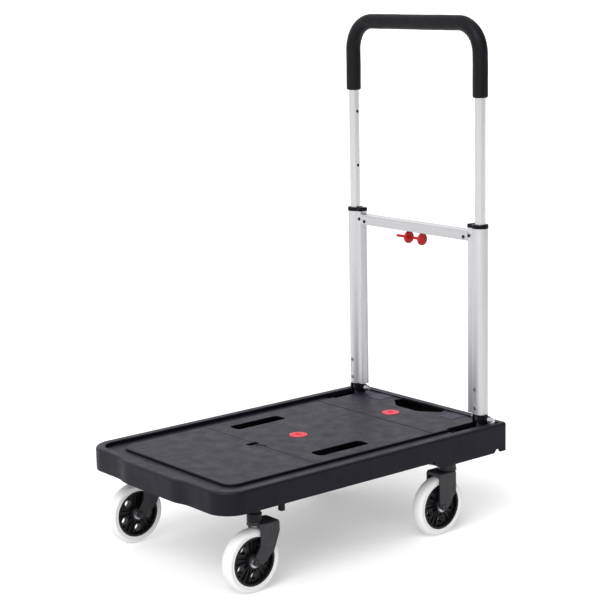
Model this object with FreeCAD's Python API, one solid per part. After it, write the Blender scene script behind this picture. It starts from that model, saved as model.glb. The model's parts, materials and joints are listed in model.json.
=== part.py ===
import FreeCAD, Part

import math
import os

# Folding platform cart, in millimetres. +Z is up, +X is to the right when the
# user stands behind the handle, and the handle stands at the +Y end. The origin
# is on the floor, under the middle of the deck. All pieces are at rest: handle
# upright and fully drawn out, casters trailing towards -Y.

# ---------------------------------------------------------------- driving sizes
HALF_WIDTH = 230.0          # deck, outside
DECK_FRONT = -362.0         # plain part of the front edge
DECK_REAR = 370.0
BULGE = 8.0                 # how far the middle of the front edge stands forward
BULGE_HALF = 98.0           # half the bulge's width, at the middle of its steps
DECK_TOP = 214.0
SKIRT_BOTTOM = 169.0        # lower edge of the skirt, front and middle
REAR_BOTTOM = 154.0         # lower edge of the deeper skirt over the rear casters
STEP_Y = 172.0              # where the skirt gets deeper
FRONT_CORNER_R = 50.0
REAR_CORNER_R = 7.0
WALL = 4.0                  # deck moulding

RIM_WIDTH = 19.0            # flat band around the deck's edge
GROOVE_WIDTH = 30.0         # channel that takes the folded handle
GROOVE_FLOOR = 206.0
PANEL_TOP = 211.5
PANEL_REAR = 350.0
PANEL_CORNER_R = 28.0
EDGE_R = 2.4                # rounding of the panel's upper edge

AXIS_X = 191.0              # handle tubes, and posts' round part
AXIS_Y = 330.2
PIVOT_Z = 223.0
POST_BOTTOM = 232.0
POST_TOP = 622.0
POST_R = 16.0               # round part, outside
POST_BORE_R = 14.2
PLUG_TOP = 293.0            # upper end of the foot's plug
WING_REACH = 26.5           # flat part, from the tube axis towards the middle
WING_HALF = 9.5
POST_WALL = 1.8

COLLAR_BOTTOM = 619.2
COLLAR_TOP = 627.0
COLLAR_WALL = 0.9
TUBE_R = 11.0
TUBE_WALL = 1.3
TUBE_BOTTOM = 536.0
GRIP_TOP_Z = 1029.0         # centre line of the grip's crossing part
BEND_R = 60.0
GRIP_R = 15.9
GRIP_END_Z = 882.0
PIN_Z = 602.0
HOLE_STEP = 117.0           # distance between the locking holes

RIVET_ZS = (246.3, 285.8)    # rivets that hold the posts on their feet
BAR_BOTTOM = 591.5
BAR_TOP = 613.5
RELEASE_Z = 577.8           # centre of the finger plates
PLATE_X = 20.5              # finger plates, from the middle of the bar
PLATE_R = 13.0
PLATE_HALF = 3.2            # half their thickness
PIN_TRAVEL = 8.0

WHEEL_X = 192.5
WHEEL_R = 62.5
WHEEL_HALF = 13.5
CORE_R = 47.5
FRONT_SWIVEL_Y = -266.0
FRONT_TRAIL = -11.6         # front axle, from the swivel's axis
FRONT_FORK = 22.0           # middle of the fork's crown, from the swivel's axis
REAR_PLATE_Y = 232.0        # centre of the rear caster's mounting plate
REAR_FORK = -15.5           # its fork, from there
REAR_TRAIL = -27.0          # its axle, from there
FRONT_MOUNT_TOP = 174.0     # upper faces of the casters' mounting plates
REAR_MOUNT_TOP = 152.0
PLATE_THICK = 3.0
SIDE_R = 56.0               # tyre's outer radius at its side faces
BOSS_R = 7.2                # fork's ends, round the axle
BOSS_REACH = 9.5            # pivot boss, from the post's side
FORK_INNER = 17.0
FORK_OUTER = 20.0
AXLE_R = 4.0
KING_R = 6.0
KING_FOOT_R = 9.5
CROWN_TOP = 134.0           # front forks' upper face
RUNNING = 0.05              # radial clearance of a running fit

X = FreeCAD.Vector(1, 0, 0)
Y = FreeCAD.Vector(0, 1, 0)
Z = FreeCAD.Vector(0, 0, 1)
SIDES = (("left", -1), ("right", 1))


# ---------------------------------------------------------------- small helpers
def point(x, y, z=0.0):
    return FreeCAD.Vector(x, y, z)


def box(x0, x1, y0, y1, z0, z1):
    low = point(min(x0, x1), min(y0, y1), min(z0, z1))
    return Part.makeBox(abs(x1 - x0), abs(y1 - y0), abs(z1 - z0), low)


def rod_x(radius, x0, x1, y, z):
    return Part.makeCylinder(radius, abs(x1 - x0), point(min(x0, x1), y, z), X)


def rod_y(radius, y0, y1, x, z):
    return Part.makeCylinder(radius, abs(y1 - y0), point(x, min(y0, y1), z), Y)


def rod_z(radius, z0, z1, x, y):
    return Part.makeCylinder(radius, abs(z1 - z0), point(x, y, min(z0, z1)), Z)


def ring_z(outer, inner, z0, z1, x, y):
    return rod_z(outer, z0, z1, x, y).cut(rod_z(inner, z0 - 1, z1 + 1, x, y))


def rounded_wire(corners):
    """Closed outline in a plane of constant z from (x, y, radius) corners."""
    count = len(corners)
    starts, arcs, ends = [], [], []
    for i in range(count):
        before = point(*corners[i - 1][:2])
        here = point(*corners[i][:2])
        after = point(*corners[(i + 1) % count][:2])
        radius = corners[i][2]
        to_before = (before - here).normalize()
        to_after = (after - here).normalize()
        if radius <= 0:
            starts.append(here)
            ends.append(here)
            arcs.append(None)
            continue
        half = to_before.getAngle(to_after) / 2
        reach = radius / math.tan(half)
        middle = (to_before + to_after).normalize()
        centre = here + middle * (radius / math.sin(half))
        starts.append(here + to_before * reach)
        ends.append(here + to_after * reach)
        arcs.append(centre - middle * radius)
    edges = []
    for i in range(count):
        if arcs[i] is not None:
            edges.append(Part.Arc(starts[i], arcs[i], ends[i]).toShape())
        following = starts[(i + 1) % count]
        if (following - ends[i]).Length > 1e-6:
            edges.append(Part.LineSegment(ends[i], following).toShape())
    return Part.Wire(edges)


def prism(corners, z0, z1):
    face = Part.Face(rounded_wire(corners))
    face.translate(point(0, 0, z0))
    return face.extrude(point(0, 0, z1 - z0))


def rectangle(x0, x1, y0, y1, radius):
    return [(x0, y0, radius), (x1, y0, radius), (x1, y1, radius), (x0, y1, radius)]


def plate_yz(corners, x0, x1):
    """Plate across X, from a (y, z, radius) outline."""
    shape = prism(corners, x0, x1)
    shape.rotate(point(0, 0, 0), point(1, 1, 1), 120)
    return shape


def revolved_x(profile):
    """Solid of revolution about the X axis, from (x, radius) corners."""
    points = [point(x, 0, radius) for x, radius in profile]
    face = Part.Face(Part.makePolygon(points + [points[0]]))
    return face.revolve(point(0, 0, 0), X, 360)


def fused(shapes):
    shapes = list(shapes)
    whole = shapes[0].multiFuse(shapes[1:])
    return whole.removeSplitter()


def mirrored(shape):
    return shape.mirror(point(0, 0, 0), X)


def for_side(shape, sign):
    """A piece drawn for the right-hand side, or its mirror image."""
    return shape.copy() if sign > 0 else mirrored(shape)


def group(shapes):
    solids = []
    for shape in shapes:
        solids += shape.Solids
    return Part.Compound(solids)


def edges_at(shape, test):
    return [edge for edge in shape.Edges if test(edge)]


def save(name, shape):
    solids = shape.Solids
    for solid in solids:
        if not solid.isValid() or solid.Volume <= 0:
            raise ValueError(name + " holds a bad solid")
    result = solids[0] if len(solids) == 1 else Part.Compound(solids)
    result.exportStep("parts/" + name + ".step")


# ---------------------------------------------------------------- deck
SLOT_X = 131.5
SLOT_HALF_WIDTH = 17.0
SLOT_FRONT = -66.0
SLOT_REAR = 62.0
BADGE_R = 19.0
BADGE_YS = (0.0, 254.0)
SEAMS = ((-104.0, 2.2), (205.0, 4.0))    # grooves across the panel: y and half width
POCKET_FRONT = 249.0
POCKET_REAR = 348.0
POCKET_FLOOR = 196.0
POCKET_HALF = 16.5
FRONT_PLATE = (30.0, 31.0)  # mounting plates' half sizes along X and Y
REAR_PLATE = (20.0, 38.0)
PLATE_EDGE = 7.0            # from a plate's edge to its screws
NOTCH_YS = (332.0, 350.0)   # notch in the lower edge, near the rear corners
NOTCH_TOP = 161.5
PAD_HEIGHT = 0.8            # two flat pads in front of the rear edge
WELL = 11.0                 # from an opening's edge to the wall round it, underneath
SCREW_R = 3.0


def deck_outline(inset):
    """The deck's plan outline, moved in by inset."""
    side = HALF_WIDTH - inset
    front = DECK_FRONT + inset
    bulge = front - BULGE
    rear = DECK_REAR - inset
    soft = 90.0
    half_step = 14.0
    return [
        (-side, front, FRONT_CORNER_R - inset),
        (-BULGE_HALF - half_step, front, soft),
        (-BULGE_HALF + half_step, bulge, soft),
        (BULGE_HALF - half_step, bulge, soft),
        (BULGE_HALF + half_step, front, soft),
        (side, front, FRONT_CORNER_R - inset),
        (side, rear, REAR_CORNER_R - inset),
        (-side, rear, REAR_CORNER_R - inset),
    ]


def carry_outline(grow):
    """D-shaped carrying hole at the rear: a straight rear edge, a bowed front."""
    return [
        (-74 - grow, 332 - grow * 0.5, 9),
        (-34 - grow * 0.5, 301 - grow, 30),
        (34 + grow * 0.5, 301 - grow, 30),
        (74 + grow, 332 - grow * 0.5, 9),
        (66 + grow, 352 + grow, 6),
        (-66 - grow, 352 + grow, 6),
    ]


def caster_places():
    """Each caster's name, the centre and top of its mounting plate, and its side."""
    places = []
    for side_name, sign in SIDES:
        places.append(("front_" + side_name, sign * WHEEL_X, FRONT_SWIVEL_Y, FRONT_MOUNT_TOP, sign))
        places.append(("rear_" + side_name, sign * WHEEL_X, REAR_PLATE_Y, REAR_MOUNT_TOP, sign))
    return places


def plate_size(name):
    return FRONT_PLATE if name.startswith("front") else REAR_PLATE


def mount_points(name, x, y):
    reach_x = plate_size(name)[0] - PLATE_EDGE
    reach_y = plate_size(name)[1] - PLATE_EDGE
    return [(x + i * reach_x, y + j * reach_y) for i in (-1, 1) for j in (-1, 1)]


def caster_screws():
    screws = []
    for name, x, y, top, sign in caster_places():
        under = top - PLATE_THICK
        for px, py in mount_points(name, x, y):
            head = rod_z(5.2, under - 3.2, under, px, py)
            socket = rod_z(2.2, under - 4, under - 1.4, px, py)
            shank = rod_z(SCREW_R, under, top + 16, px, py)
            screws.append(head.cut(socket).fuse(shank).removeSplitter())
    return screws


def deck_body():
    body = prism(deck_outline(0), REAR_BOTTOM, DECK_TOP)
    top_edges = edges_at(body, lambda e: abs(e.BoundBox.ZMin - DECK_TOP) < 1e-6)
    body = body.makeFillet(5.0, top_edges)

    under_front = [
        (-420, SKIRT_BOTTOM, 0), (-420, 100, 0), (STEP_Y + 6, 100, 0),
        (STEP_Y + 6, REAR_BOTTOM, 6), (STEP_Y - 8, SKIRT_BOTTOM, 6),
    ]
    body = body.cut(plate_yz(under_front, -300, 300))
    notch = [(NOTCH_YS[0], REAR_BOTTOM - 20, 0), (NOTCH_YS[1], REAR_BOTTOM - 20, 0),
             (NOTCH_YS[1], REAR_BOTTOM, 0), (NOTCH_YS[1] - 5, NOTCH_TOP, 2),
             (NOTCH_YS[1] - 11, NOTCH_TOP, 2), (NOTCH_YS[0], REAR_BOTTOM, 0)]
    body = body.cut(plate_yz(notch, -300, 300))
    body = body.cut(prism(deck_outline(WALL), 100, GROOVE_FLOOR - WALL))

    side = HALF_WIDTH - RIM_WIDTH
    front = DECK_FRONT + RIM_WIDTH
    panel_side = side - GROOVE_WIDTH
    panel_front = front + GROOVE_WIDTH
    channel_r = FRONT_CORNER_R - RIM_WIDTH
    channel = prism([(-side, front, channel_r), (side, front, channel_r), (side, POCKET_REAR, 0),
                     (-side, POCKET_REAR, 0)], GROOVE_FLOOR, DECK_TOP + 5)
    panel = prism([(-panel_side, panel_front, PANEL_CORNER_R), (panel_side, panel_front,
                   PANEL_CORNER_R), (panel_side, 420, 0), (-panel_side, 420, 0)], 100, PANEL_TOP)
    upper = edges_at(panel, lambda e: e.BoundBox.ZMin > PANEL_TOP - 0.01)
    body = body.cut(channel.cut(panel.makeFillet(EDGE_R, upper)))
    rim = edges_at(body, lambda e: abs(e.BoundBox.ZMin - DECK_TOP) < 1e-6
                   and abs(e.BoundBox.ZMax - DECK_TOP) < 1e-6
                   and abs(e.CenterOfMass.x) < side + 0.01
                   and front - 0.01 < e.CenterOfMass.y < 300)
    body = body.makeFillet(1.6, rim)

    # the panel's top lies a little lower than the rim
    top = [(-panel_side - 1, panel_front - 1, PANEL_CORNER_R), (panel_side + 1, panel_front - 1,
           PANEL_CORNER_R), (panel_side + 1, PANEL_REAR, 4), (-panel_side - 1, PANEL_REAR, 4)]
    lowered = prism(top, PANEL_TOP, DECK_TOP + 5)
    body = body.cut(lowered)
    for sign in (-1, 1):
        pad = prism(rectangle(sign * 113 - 21, sign * 113 + 21, 305, PANEL_REAR - 1, 5),
                    PANEL_TOP - 1, PANEL_TOP + PAD_HEIGHT)
        upper = edges_at(pad, lambda e: e.BoundBox.ZMin > PANEL_TOP + PAD_HEIGHT - 0.01)
        body = body.fuse(pad.makeChamfer(0.7, upper))
    ceiling = PANEL_TOP - WALL
    hollow = [(-panel_side + 5, panel_front + 5, 18), (panel_side - 5, panel_front + 5, 18),
              (panel_side - 5, 240, 4), (-panel_side + 5, 240, 4)]
    body = body.cut(prism(hollow, 190, ceiling))
    return body.cut(prism(rectangle(-162, 162, 230, DECK_REAR - WALL - 2, 6), 190, ceiling))


def deck_ribs():
    """Stiffening ribs and the walls round the openings, under the deck."""
    rib_top = 209.0
    rib_foot = SKIRT_BOTTOM + 4
    ribs = []
    for x in (-165, -98, -33, 33, 98, 165):
        ribs.append(box(x - 1.5, x + 1.5, DECK_FRONT + 2, DECK_REAR - 2, rib_foot, rib_top - 5))
    for y in (-300, -190, -104, -20, 80, 140, 290):
        ribs.append(box(-HALF_WIDTH + 2, HALF_WIDTH - 2, y - 1.5, y + 1.5, rib_foot, rib_top - 5))
    wells = [prism(outline, rib_foot, rib_top - 4) for outline in well_outlines(WELL + 3)]
    pockets = [box(s * (AXIS_X - POCKET_HALF - 4), s * (HALF_WIDTH - 3), POCKET_FRONT - 4,
                   DECK_REAR - 3, POCKET_FLOOR - 4, GROOVE_FLOOR) for s in (-1, 1)]
    cups = [rod_z(BADGE_R + 3, PANEL_TOP - 10, PANEL_TOP - 2, 0, y) for y in BADGE_YS]
    return ribs + wells + pockets + cups


def slot_outline(sign, grow):
    return rectangle(sign * SLOT_X - SLOT_HALF_WIDTH - grow, sign * SLOT_X + SLOT_HALF_WIDTH + grow,
                     SLOT_FRONT - grow, SLOT_REAR + grow, 9)


def well_outlines(grow):
    return [slot_outline(-1, grow), slot_outline(1, grow), carry_outline(min(grow, WELL))]


def caster_bosses():
    bosses = []
    for name, x, y, top, sign in caster_places():
        for px, py in mount_points(name, x, y):
            bosses.append(rod_z(6.5, top, GROOVE_FLOOR - 2, px, py))
    return bosses


def caster_spaces():
    """Room for the mounting plates and the kingpins' heads among the ribs."""
    spaces = []
    for name, x, y, top, sign in caster_places():
        half_x, half_y = plate_size(name)
        low_x = max(x - half_x - 1, -HALF_WIDTH + WALL)
        high_x = min(x + half_x + 1, HALF_WIDTH - WALL)
        spaces.append(box(low_x, high_x, y - half_y - 1, y + half_y + 1, 100, top))
        spaces.append(rod_z(11, 100, top + 6, x, y))
    return spaces


def corner_lugs():
    """A small lug below the skirt's edge behind each front caster, on a web."""
    lugs = []
    for sign in (-1, 1):
        lugs.append(box(sign * 210, sign * 220, -223, -214.3, SKIRT_BOTTOM - 17, GROOVE_FLOOR - 2))
        lugs.append(box(sign * 214, sign * 227, -220, -217, SKIRT_BOTTOM + 4, GROOVE_FLOOR - 2))
    return lugs


def deck_openings():
    """Everything that is cut through or into the deck's top."""
    cuts = [prism(slot_outline(s, 0), 90, 230) for s in (-1, 1)]
    cuts += [prism(slot_outline(s, WELL), 90, PANEL_TOP - WALL) for s in (-1, 1)]
    cuts.append(prism(carry_outline(WELL - 3), 90, PANEL_TOP - WALL))
    cuts.append(prism(carry_outline(0), 90, 230))
    for sign in (-1, 1):
        low = sign * (AXIS_X - POCKET_HALF)
        high = sign * (HALF_WIDTH - RIM_WIDTH)
        cuts.append(box(low, high, POCKET_FRONT, POCKET_REAR, POCKET_FLOOR, 230))
        cuts.append(box(sign * 213.5, sign * 223, 342, 355, DECK_TOP - 9, 230))
    for y in BADGE_YS:
        cuts.append(rod_z(BADGE_R, PANEL_TOP - 2.2, 230, 0, y))
        cuts.append(rod_z(4.1, PANEL_TOP - 16, 230, 0, y))
    panel_side = HALF_WIDTH - RIM_WIDTH - GROOVE_WIDTH
    for y, half in SEAMS:
        groove = [(y - half, PANEL_TOP + 1, 0), (y, PANEL_TOP - 1.4, 0), (y + half, PANEL_TOP + 1, 0)]
        cuts.append(plate_yz(groove, -panel_side - 2, panel_side + 2))
    notch_y = SEAMS[0][0] - 4
    cuts.append(prism(rectangle(-19, -3, notch_y - 14, notch_y + 12, 4), PANEL_TOP - WALL - 6, 230))
    cuts.append(prism(rectangle(2, 26, notch_y - 8, notch_y + 10, 6), PANEL_TOP - 1.2, 230))
    return cuts


def deck():
    # openings are cut after the ribs, so that no rib crosses one
    body = fused([deck_body()] + deck_ribs())
    for cut in deck_openings() + caster_spaces():
        body = body.cut(cut)
    body = fused([body] + caster_bosses() + corner_lugs())
    body = body.common(prism(deck_outline(0), 100, DECK_TOP + 5))
    body = body.cut(group(caster_screws() + bracket_screws()))
    return body.removeSplitter()


def badge(y):
    cap = rod_z(BADGE_R - 0.3, PANEL_TOP - 2.2, PANEL_TOP + 0.8, 0, y)
    rim = edges_at(cap, lambda e: abs(e.BoundBox.ZMin - PANEL_TOP - 0.8) < 1e-6)
    cap = cap.makeFillet(0.8, rim)
    dimple = rod_z(6.0, PANEL_TOP - 0.4, PANEL_TOP + 3, 0, y)
    stem = rod_z(4.0, PANEL_TOP - 10, PANEL_TOP - 2.2, 0, y)
    return cap.cut(dimple).fuse(stem).removeSplitter()


# ---------------------------------------------------------------- handle pivots
def bracket_screw_places():
    return [(AXIS_X + dx, y) for dx in (-9.5, 9.5) for y in (306.0, 343.0)]


def bracket_screws():
    screws = []
    for name, sign in SIDES:
        for x, y in bracket_screw_places():
            head = Part.makeCone(2.0, 4.0, 2.0, point(sign * x, y, POCKET_FLOOR + 1), Z)
            shank = rod_z(2.0, POCKET_FLOOR - 3, POCKET_FLOOR + 1, sign * x, y)
            screws.append(head.fuse(shank).removeSplitter())
    return screws


def hinge_bracket():
    """Right-hand base plate with the upright lug that the handle's foot turns on."""
    base = box(AXIS_X - 15.5, AXIS_X + 15.5, 299, 347.5, POCKET_FLOOR, POCKET_FLOOR + 3)
    top = rod_x(11.0, AXIS_X - 6, AXIS_X + 6, AXIS_Y, PIVOT_Z)
    web = box(AXIS_X - 6, AXIS_X + 6, AXIS_Y - 5.5, AXIS_Y + 11, POCKET_FLOOR + 3, PIVOT_Z)
    bracket = fused([base, top, web])
    return bracket.cut(rod_x(AXLE_R + RUNNING, AXIS_X - 10, AXIS_X + 10, AXIS_Y, PIVOT_Z))


def pivot_foot():
    """Right-hand foot: a plug in the post's round part and a clevis below it."""
    turning = box(AXIS_X - 20, AXIS_X + 20, AXIS_Y - 20, AXIS_Y + 20, PIVOT_Z, POST_BOTTOM)
    turning = turning.fuse(rod_x(14.0, AXIS_X - 20, AXIS_X + 20, AXIS_Y, PIVOT_Z))
    lower = rod_z(POST_R, PIVOT_Z - 20, POST_BOTTOM, AXIS_X, AXIS_Y).common(turning)
    plug = rod_z(POST_BORE_R, POST_BOTTOM, PLUG_TOP, AXIS_X, AXIS_Y)
    foot = fused([lower, plug])
    foot = foot.cut(box(AXIS_X - 6.4, AXIS_X + 6.4, AXIS_Y - 30, AXIS_Y + 30, 200, PIVOT_Z + 12.5))
    return foot.cut(rod_z(7.0, 252, 300, AXIS_X, AXIS_Y))


def foot_boss(centre_x):
    """Round boss on the +X side of either foot, which the pivot bolt's nut bears on."""
    reach = centre_x + POST_R + BOSS_REACH
    boss = rod_x(7.6, centre_x + POST_R - 4, reach, AXIS_Y, PIVOT_Z)
    return boss.makeFillet(0.8, edges_at(boss, lambda e: e.BoundBox.XMin > reach - 0.01))


def hexagon_x(across_flats, x0, x1, y, z):
    radius = across_flats / math.sqrt(3)
    corners = [point(x0, y + radius * math.cos(math.radians(60 * i)),
                     z + radius * math.sin(math.radians(60 * i))) for i in range(6)]
    face = Part.Face(Part.makePolygon(corners + [corners[0]]))
    return face.extrude(point(x1 - x0, 0, 0))


def pivot_bolt(centre_x):
    """Bolt along X through the foot, with its nut on the +X side of either post."""
    left = centre_x - POST_R
    right = centre_x + POST_R + BOSS_REACH
    shank = rod_x(AXLE_R, left, right + 13.0, AXIS_Y, PIVOT_Z)
    head = rod_x(7.0, left - 3.6, left, AXIS_Y, PIVOT_Z)
    head = head.makeFillet(1.6, edges_at(head, lambda e: abs(e.BoundBox.XMax - left + 3.6) < 1e-6))
    bolt = fused([shank, head.cut(rod_x(2.4, left - 5, left - 1.6, AXIS_Y, PIVOT_Z))])
    washer = rod_x(6.6, right, right + 1.5, AXIS_Y, PIVOT_Z).cut(shank)
    nut = hexagon_x(10.5, right + 1.5, right + 8.0, AXIS_Y, PIVOT_Z)
    nut = nut.fuse(rod_x(4.8, right + 8.0, right + 10.0, AXIS_Y, PIVOT_Z)).cut(shank)
    return [bolt, washer, nut.removeSplitter()]


# ---------------------------------------------------------------- lower handle
def keyhole(grow):
    """Right-hand post section: a round part with a flat wing towards the middle."""
    round_part = rod_z(POST_R + grow, 0, 1, AXIS_X, AXIS_Y)
    wing = prism(rectangle(AXIS_X - WING_REACH - grow, AXIS_X, AXIS_Y - WING_HALF - grow,
                           AXIS_Y + WING_HALF + grow, 1.2), 0, 1)
    return round_part.fuse(wing).removeSplitter()


def keyhole_column(grow, z0, z1):
    section = keyhole(grow)
    foot = [face for face in section.Faces if abs(face.CenterOfMass.z) < 1e-6
            and abs(face.normalAt(0, 0).z) > 0.99]
    base = foot[0].copy()
    base.translate(point(0, 0, z0))
    return base.extrude(point(0, 0, z1 - z0))


def post():
    column = keyhole_column(0, POST_BOTTOM, POST_TOP)
    column = column.cut(rod_z(POST_BORE_R, 200, 700, AXIS_X, AXIS_Y))
    chamber = box(AXIS_X - WING_REACH + POST_WALL, AXIS_X, AXIS_Y - WING_HALF + POST_WALL,
                  AXIS_Y + WING_HALF - POST_WALL, 200, 700)
    chamber = chamber.cut(rod_z(POST_R, 199, 701, AXIS_X, AXIS_Y))
    column = column.cut(chamber)
    # shallow channel down the wing's inner edge
    inner = AXIS_X - WING_REACH
    column = column.cut(box(inner - 1, inner + 0.6, AXIS_Y - 3.5, AXIS_Y + 5.5, 200, BAR_BOTTOM - 6))
    # shallow rounded recess between the two rivets
    front = AXIS_Y - POST_R
    low = RIVET_ZS[0] + 8.5
    high = RIVET_ZS[1] - 8.5
    recess = box(AXIS_X - 3.2, AXIS_X + 3.2, front - 1, front + 1.0, low, high)
    for z in (low, high):
        recess = recess.fuse(rod_y(3.2, front - 1, front + 1.0, AXIS_X, z))
    column = column.cut(recess)
    return column.cut(rod_x(PIN_R + RUNNING, 150, AXIS_X - 8, AXIS_Y, PIN_Z))


def collar():
    cap = keyhole_column(COLLAR_WALL, COLLAR_BOTTOM, COLLAR_TOP)
    top_edges = edges_at(cap, lambda e: abs(e.BoundBox.ZMin - COLLAR_TOP) < 1e-6)
    cap = cap.makeFillet(1.4, top_edges)
    cap = cap.cut(keyhole_column(0, COLLAR_BOTTOM - 1, POST_TOP))
    return cap.cut(rod_z(TUBE_R + 0.3, 600, 640, AXIS_X, AXIS_Y))


def rivets():
    pieces = []
    for name, sign in SIDES:
        for z in RIVET_ZS:
            x = sign * AXIS_X
            head = rod_y(3.9, AXIS_Y - POST_R - 1.3, AXIS_Y - POST_R + 0.8, x, z)
            front = edges_at(head, lambda e: e.BoundBox.YMax < AXIS_Y - POST_R - 1.2)
            head = head.makeFillet(1.0, front)
            shank = rod_y(2.0, AXIS_Y - POST_R + 0.8, AXIS_Y - 8, x, z)
            pieces.append(head.fuse(shank).removeSplitter())
    return pieces


PIN_R = 3.0
BAR_HALF = 9.7
BAR_END = AXIS_X - WING_REACH
BAR_WALL = 1.8


def crossbar():
    outline = [(AXIS_Y - BAR_HALF, BAR_BOTTOM, 1.5), (AXIS_Y + BAR_HALF, BAR_BOTTOM, 1.5),
               (AXIS_Y + BAR_HALF, BAR_TOP, 3), (AXIS_Y - BAR_HALF, BAR_TOP, 4)]
    inside = [(AXIS_Y - BAR_HALF + BAR_WALL, BAR_BOTTOM + BAR_WALL, 0.8),
              (AXIS_Y + BAR_HALF - BAR_WALL, BAR_BOTTOM + BAR_WALL, 0.8),
              (AXIS_Y + BAR_HALF - BAR_WALL, BAR_TOP - BAR_WALL, 1.5),
              (AXIS_Y - BAR_HALF + BAR_WALL, BAR_TOP - BAR_WALL, 2.2)]
    bar = plate_yz(outline, -BAR_END, BAR_END).cut(plate_yz(inside, -BAR_END - 1, BAR_END + 1))
    # two fine lines along the top, and the slots that the release stems move in
    for dy in (-2.0, 4.0):
        bar = bar.cut(box(-BAR_END - 1, BAR_END + 1, AXIS_Y + dy - 0.5, AXIS_Y + dy + 0.5,
                          BAR_TOP - 0.6, BAR_TOP + 1))
    for sign in (-1, 1):
        inner = sign * (PLATE_X - PIN_TRAVEL - 4.5)
        bar = bar.cut(box(inner, sign * (PLATE_X + 4.5), AXIS_Y - 4.5, AXIS_Y + 4.5,
                          BAR_BOTTOM - 1, BAR_BOTTOM + BAR_WALL + 0.5))
    return bar


def bar_plugs():
    """Plastic blocks in the bar's ends and in the posts' wings that take the screws."""
    plugs = []
    for name, sign in SIDES:
        in_bar = box(136, BAR_END, AXIS_Y - BAR_HALF + BAR_WALL, AXIS_Y + BAR_HALF - BAR_WALL,
                     BAR_BOTTOM + BAR_WALL + 1, BAR_TOP - BAR_WALL - 2.4)
        in_wing = box(BAR_END + POST_WALL, AXIS_X - POST_R - 0.2, AXIS_Y - WING_HALF + POST_WALL,
                      AXIS_Y + WING_HALF - POST_WALL, BAR_BOTTOM - 4, BAR_TOP + 4)
        bore = rod_x(PIN_R + 0.4, 100, 200, AXIS_Y, PIN_Z)
        for plug in (in_bar, in_wing):
            plugs.append(for_side(plug.cut(bore), sign))
    return plugs


def bar_screws():
    screws = []
    for name, sign in SIDES:
        for x, z, face in ((168.5, 602.7, WING_HALF), (152.2, 598.4, BAR_HALF)):
            head = rod_y(3.7, AXIS_Y - face - 1.5, AXIS_Y - face, sign * x, z)
            front = edges_at(head, lambda e: e.BoundBox.YMax < AXIS_Y - face - 1.4)
            head = head.makeFillet(0.9, front)
            shank = rod_y(1.6, AXIS_Y - face, AXIS_Y - 4.4, sign * x, z)
            screws.append(head.fuse(shank).removeSplitter())
    return screws


# ---------------------------------------------------------------- upper handle
def handle_path(end_z):
    """U-shaped centre line of the upper handle, ending at end_z on both sides."""
    bend_z = GRIP_TOP_Z - BEND_R
    diagonal = BEND_R * math.sqrt(0.5)
    edges = [Part.LineSegment(point(-AXIS_X, AXIS_Y, end_z),
                              point(-AXIS_X, AXIS_Y, bend_z)).toShape()]
    edges.append(Part.Arc(point(-AXIS_X, AXIS_Y, bend_z),
                          point(-AXIS_X + BEND_R - diagonal, AXIS_Y, bend_z + diagonal),
                          point(-AXIS_X + BEND_R, AXIS_Y, GRIP_TOP_Z)).toShape())
    edges.append(Part.LineSegment(point(-AXIS_X + BEND_R, AXIS_Y, GRIP_TOP_Z),
                                  point(AXIS_X - BEND_R, AXIS_Y, GRIP_TOP_Z)).toShape())
    edges.append(Part.Arc(point(AXIS_X - BEND_R, AXIS_Y, GRIP_TOP_Z),
                          point(AXIS_X - BEND_R + diagonal, AXIS_Y, bend_z + diagonal),
                          point(AXIS_X, AXIS_Y, bend_z)).toShape())
    edges.append(Part.LineSegment(point(AXIS_X, AXIS_Y, bend_z),
                                  point(AXIS_X, AXIS_Y, end_z)).toShape())
    return Part.Wire(edges)


def swept(radius, end_z):
    circle = Part.Wire(Part.makeCircle(radius, point(-AXIS_X, AXIS_Y, end_z), Z))
    return handle_path(end_z).makePipeShell([circle], True, True)


def handle_tube():
    tube = swept(TUBE_R, TUBE_BOTTOM).cut(swept(TUBE_R - TUBE_WALL, TUBE_BOTTOM))
    for name, sign in SIDES:
        for step in range(3):
            z = PIN_Z + step * HOLE_STEP
            tube = tube.cut(rod_x(3.4, sign * (AXIS_X - 16), sign * (AXIS_X - 2), AXIS_Y, z))
    return tube


def foam_grip():
    return swept(GRIP_R, GRIP_END_Z).cut(swept(TUBE_R, GRIP_END_Z))


def glide_bush():
    bush = ring_z(POST_BORE_R - 0.08, TUBE_R, TUBE_BOTTOM - 2, TUBE_BOTTOM + 28, AXIS_X, AXIS_Y)
    stop = ring_z(POST_BORE_R - 0.08, TUBE_R - TUBE_WALL, TUBE_BOTTOM - 4, TUBE_BOTTOM - 2,
                  AXIS_X, AXIS_Y)
    ring = ring_z(TUBE_R, TUBE_R - TUBE_WALL, TUBE_BOTTOM - 2, TUBE_BOTTOM, AXIS_X, AXIS_Y)
    return fused([bush, stop, ring])


# ---------------------------------------------------------------- handle release
ROD_R = 2.0
SPRING_INNER_X = 62.0
SPRING_OUTER_X = 92.0


def release_plate(sign):
    """Finger plate with a stem into the bar. The right one carries the guide rod."""
    x0 = sign * (PLATE_X - PLATE_HALF)
    x1 = sign * (PLATE_X + PLATE_HALF)
    disc = rod_x(PLATE_R, x0, x1, AXIS_Y, RELEASE_Z)
    disc = disc.makeFillet(2.4, edges_at(disc, lambda e: isinstance(e.Curve, Part.Circle)))
    stem = box(x0, x1, AXIS_Y - 3.6, AXIS_Y + 3.6, RELEASE_Z + 6, PIN_Z + 4.5)
    plate = fused([disc, stem])
    if sign > 0:
        rod = rod_x(3.0, -57, x0 + 1, AXIS_Y, RELEASE_Z)
        tip = edges_at(rod, lambda e: abs(e.BoundBox.XMax + 57) < 1e-6)
        plate = fused([plate, rod.makeFillet(1.0, tip)])
    else:
        plate = plate.cut(rod_x(3.0 + RUNNING, -60, 0, AXIS_Y, RELEASE_Z))
    return plate


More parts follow.
